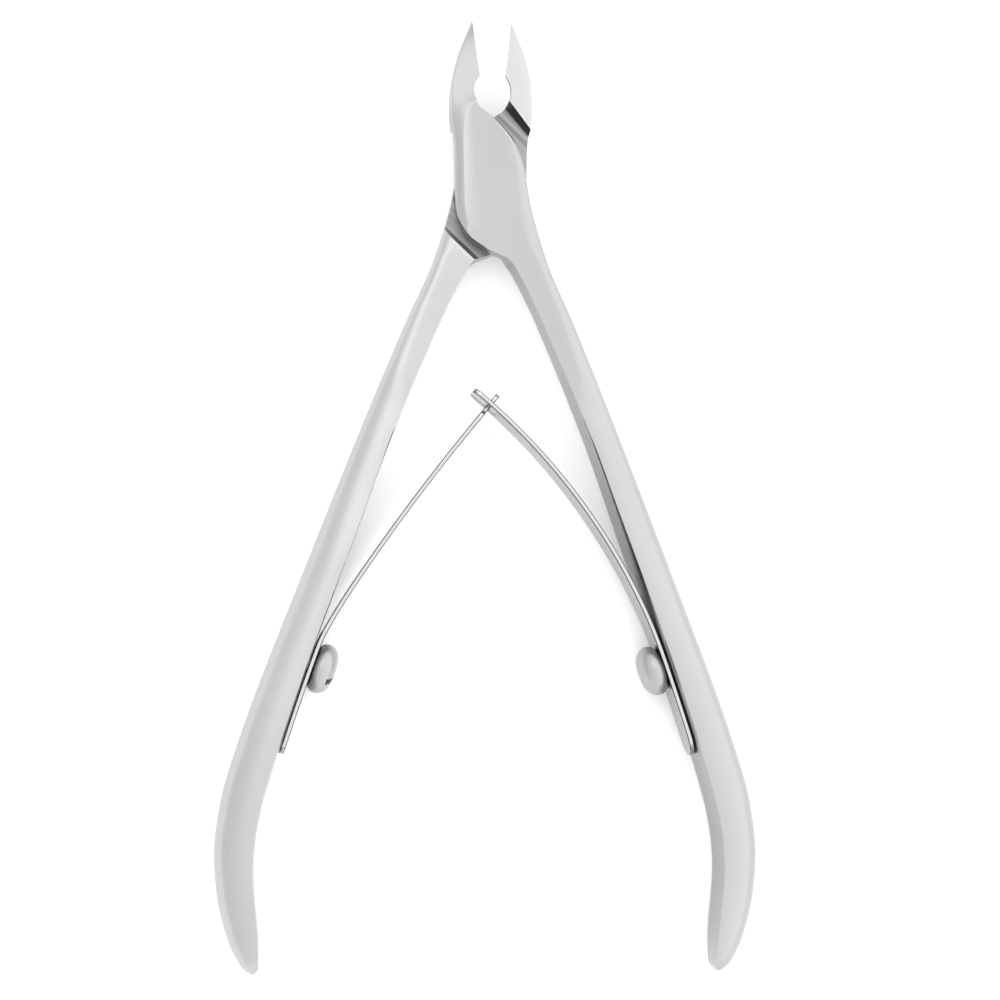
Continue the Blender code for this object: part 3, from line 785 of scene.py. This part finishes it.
def steel(name, shade, roughness, turn, grain=0.02, ground=0.0, milled=0.0):
    """Satin steel: fine grain along `turn`, cloudy patches, outer edges lightened as wear and a painted
    highlight, inner corners darkened as a painted shade.

    `ground` is how strongly the upright walls are darkened, a painted shade that carries coarser grinding
    marks across them, and `milled` how strongly cutter tracks darken the face along `turn`.
    """
    nodes = Nodes(name)
    fine = nodes.noise((9000.0, 500.0, 2500.0), detail=3.0, turn=turn)
    cloud = nodes.noise((110.0, 60.0, 110.0), detail=3.0, turn=turn)
    wear_and_highlight = nodes.attribute("edge_wear_and_highlight")
    corner_shade = nodes.attribute("painted_corner_shade")
    darker = grey(shade * 0.96, STEEL_WARMTH)
    lighter = grey(shade * 1.04, STEEL_WARMTH)
    colour = nodes.mix_colour(nodes.remap(cloud, 0.0, 1.0), darker, lighter)
    streak = nodes.remap(fine, 0.0, 0.04)
    colour = nodes.mix_colour(streak, colour, grey(shade * 0.8))
    # outer edges lightened towards a brighter grey: partly wear, partly a painted highlight
    colour = nodes.mix_colour(nodes.math("MULTIPLY", wear_and_highlight, 0.45), colour, grey(min(shade * 1.35, 0.9)))
    # inner corners darkened towards a dark grey: a painted shade
    colour = nodes.mix_colour(nodes.math("MULTIPLY", corner_shade, 0.35), colour, grey(shade * 0.45))
    rough = nodes.math("ADD", nodes.remap(cloud, -0.04, 0.04), roughness)
    rough = nodes.math("ADD", rough, nodes.remap(fine, -0.02, 0.03))
    rough = nodes.math("SUBTRACT", rough, nodes.math("MULTIPLY", wear_and_highlight, 0.08), clamp=True)
    if milled > 0.0:
        tracks = nodes.noise((1500.0, 50.0, 200.0), detail=2.0, turn=turn)
        colour = nodes.mix_colour(nodes.remap(tracks, 0.0, milled), colour, grey(shade * 0.35))
    height = fine
    if ground > 0.0:
        # upright faces darkened towards half the shade: a painted shade, with grinding marks in it
        wall = nodes.upright_mask()
        marks = nodes.noise((2200.0, 7000.0, 700.0), detail=2.0, turn=turn, roughness=0.7)
        upright_shade = nodes.math("MULTIPLY", wall, nodes.remap(marks, 0.35 * ground, ground))
        colour = nodes.mix_colour(upright_shade, colour, grey(shade * 0.5))
        height = nodes.math("ADD", height, nodes.math("MULTIPLY", wall, marks))
    bump = nodes.add("Bump")
    bump.inputs["Strength"].default_value = grain
    bump.inputs["Distance"].default_value = 0.00004
    nodes.link(height, bump.inputs["Height"])
    shader = nodes.shader.inputs
    shader["Metallic"].default_value = 1.0
    nodes.link(colour, shader["Base Color"])
    nodes.link(rough, shader["Roughness"])
    nodes.link(bump.outputs[0], shader["Normal"])
    return nodes.material


def floor_material():
    nodes = Nodes("pale_table")
    cloud = nodes.noise((40.0, 40.0, 40.0), detail=3.0)
    nodes.link(nodes.mix_colour(cloud, grey(0.90), grey(0.92)), nodes.shader.inputs["Base Color"])
    nodes.shader.inputs["Roughness"].default_value = 0.7
    nodes.shader.inputs["Specular IOR Level"].default_value = 0.2
    nodes.shader.inputs["Emission Color"].default_value = grey(1.0)
    nodes.shader.inputs["Emission Strength"].default_value = TABLE_GLOW
    return nodes.material


# ---------------------------------------------------------------- stage

def make_floor():
    bm = bmesh.new()
    bmesh.ops.create_circle(bm, cap_ends=True, segments=96, radius=3.0)
    bmesh.ops.translate(bm, vec=(0.0, 0.0, CAD_BOX[0].z), verts=bm.verts)
    mesh = bpy.data.meshes.new("table_top")
    bm.to_mesh(mesh)
    bm.free()
    floor = bpy.data.objects.new("table_top", mesh)
    mesh.materials.append(floor_material())
    bpy.context.scene.collection.objects.link(floor)


def make_camera():
    aim = PIVOT + CAMERA_AIM * MM
    back = CAMERA_SIDE.normalized()
    camera = bpy.data.objects.new("camera", bpy.data.cameras.new("camera"))
    camera.data.lens = 90.0
    camera.data.sensor_width = 36.0
    camera.data.clip_start = 0.01
    right = Vector((0.0, 1.0, 0.0)).cross(back).normalized()
    turn = Matrix((right, back.cross(right), back)).transposed() @ Matrix.Rotation(CAMERA_ROLL, 3, "Z")
    camera.matrix_world = Matrix.Translation(aim + back * (CAMERA_DISTANCE * MM)) @ turn.to_4x4()
    bpy.context.scene.collection.objects.link(camera)
    bpy.context.scene.camera = camera


def make_world():
    """Bright and nearly even sky, brighter on the right."""
    world = bpy.data.worlds.new("studio")
    world.use_nodes = True
    bpy.context.scene.world = world
    nodes = world.node_tree.nodes
    links = world.node_tree.links
    split = nodes.new("ShaderNodeSeparateXYZ")
    links.new(nodes.new("ShaderNodeTexCoord").outputs["Generated"], split.inputs[0])
    ramp = nodes.new("ShaderNodeMapRange")
    ramp.inputs["To Min"].default_value = SKY_HORIZON
    ramp.inputs["To Max"].default_value = SKY_ZENITH
    links.new(split.outputs[2], ramp.inputs["Value"])
    side = nodes.new("ShaderNodeMath")
    side.operation = "MULTIPLY_ADD"
    side.inputs[1].default_value = SKY_SIDE
    links.new(split.outputs[0], side.inputs[0])
    links.new(ramp.outputs["Result"], side.inputs[2])
    links.new(side.outputs[0], nodes["Background"].inputs["Strength"])
    nodes["Background"].inputs["Color"].default_value = (1.0, 1.0, 1.0, 1.0)


def soft_box(name, place, power):
    """Square area light that faces the middle of the nipper."""
    light = bpy.data.lights.new(name, "AREA")
    light.shape = "SQUARE"
    light.size = BOX_SIZE
    light.energy = power
    lamp = bpy.data.objects.new(name, light)
    lamp.location = place
    aim = PIVOT + CAMERA_AIM * MM - Vector(place)
    lamp.rotation_euler = aim.to_track_quat("-Z", "Y").to_euler()
    bpy.context.scene.collection.objects.link(lamp)


def main():
    bpy.context.scene.view_settings.view_transform = "Standard"
    # one satin steel in two shades, painted for how the light falls: the front lever darker, the rear
    # lever lighter
    front = steel("lever_satin_front_painted_darker", 0.345, 0.30, HANDLE_TURN, ground=0.4)
    rear = steel("lever_satin_rear_painted_lighter", 0.39, 0.30, -HANDLE_TURN, ground=0.4)
    # milled steel darker than the levers: partly its rougher milled finish, partly a painted shade in the
    # recess
    recess_milled_shaded = steel("recess_milled_painted_shade", 0.30, 0.42, SHOULDER_TURN, grain=0.1, milled=0.8)
    # very dark steel for the jaw shoulder's steep wall and the throat wall: a painted shade
    wall = steel("wall_painted_shade", 0.10, 0.45, SHOULDER_TURN)
    # steel painted lighter than the levers, for the handle shoulder's gentler wall
    slope = steel("shoulder_slope_painted_lighter", 0.50, 0.40, SHOULDER_TURN)
    # the leaf's upright faces are darkened strongly: a painted shade, with grinding marks
    spring = steel("spring_rolled", 0.39, 0.24, 0.0, grain=0.05, ground=0.9)
    # nearly black steel for the leaves' broken edges and shaded back: a painted shade
    shade_paint = steel("spring_edge_painted_shade", 0.045, 0.4, 0.0)
    screw = steel("screw_turned", 0.35, 0.36, 0.0, grain=0.1)
    make_levers(front, rear, recess_milled_shaded, wall, slope)
    make_pivot_screw(screw)
    make_spring_screw("spring_screw_right", 1, "front", screw)
    make_spring_screw("spring_screw_left", -1, "rear", screw)
    make_leaf("leaf_spring_right", 1, FORK_LEAF_BENDS, spring, shade_paint)
    make_leaf("leaf_spring_left", -1, TONGUE_LEAF_BENDS, spring, shade_paint)
    make_floor()
    make_camera()
    make_world()
    soft_box("left_box", LEFT_BOX_PLACE, LEFT_BOX_POWER)
    soft_box("right_box", RIGHT_BOX_PLACE, RIGHT_BOX_POWER)


main()
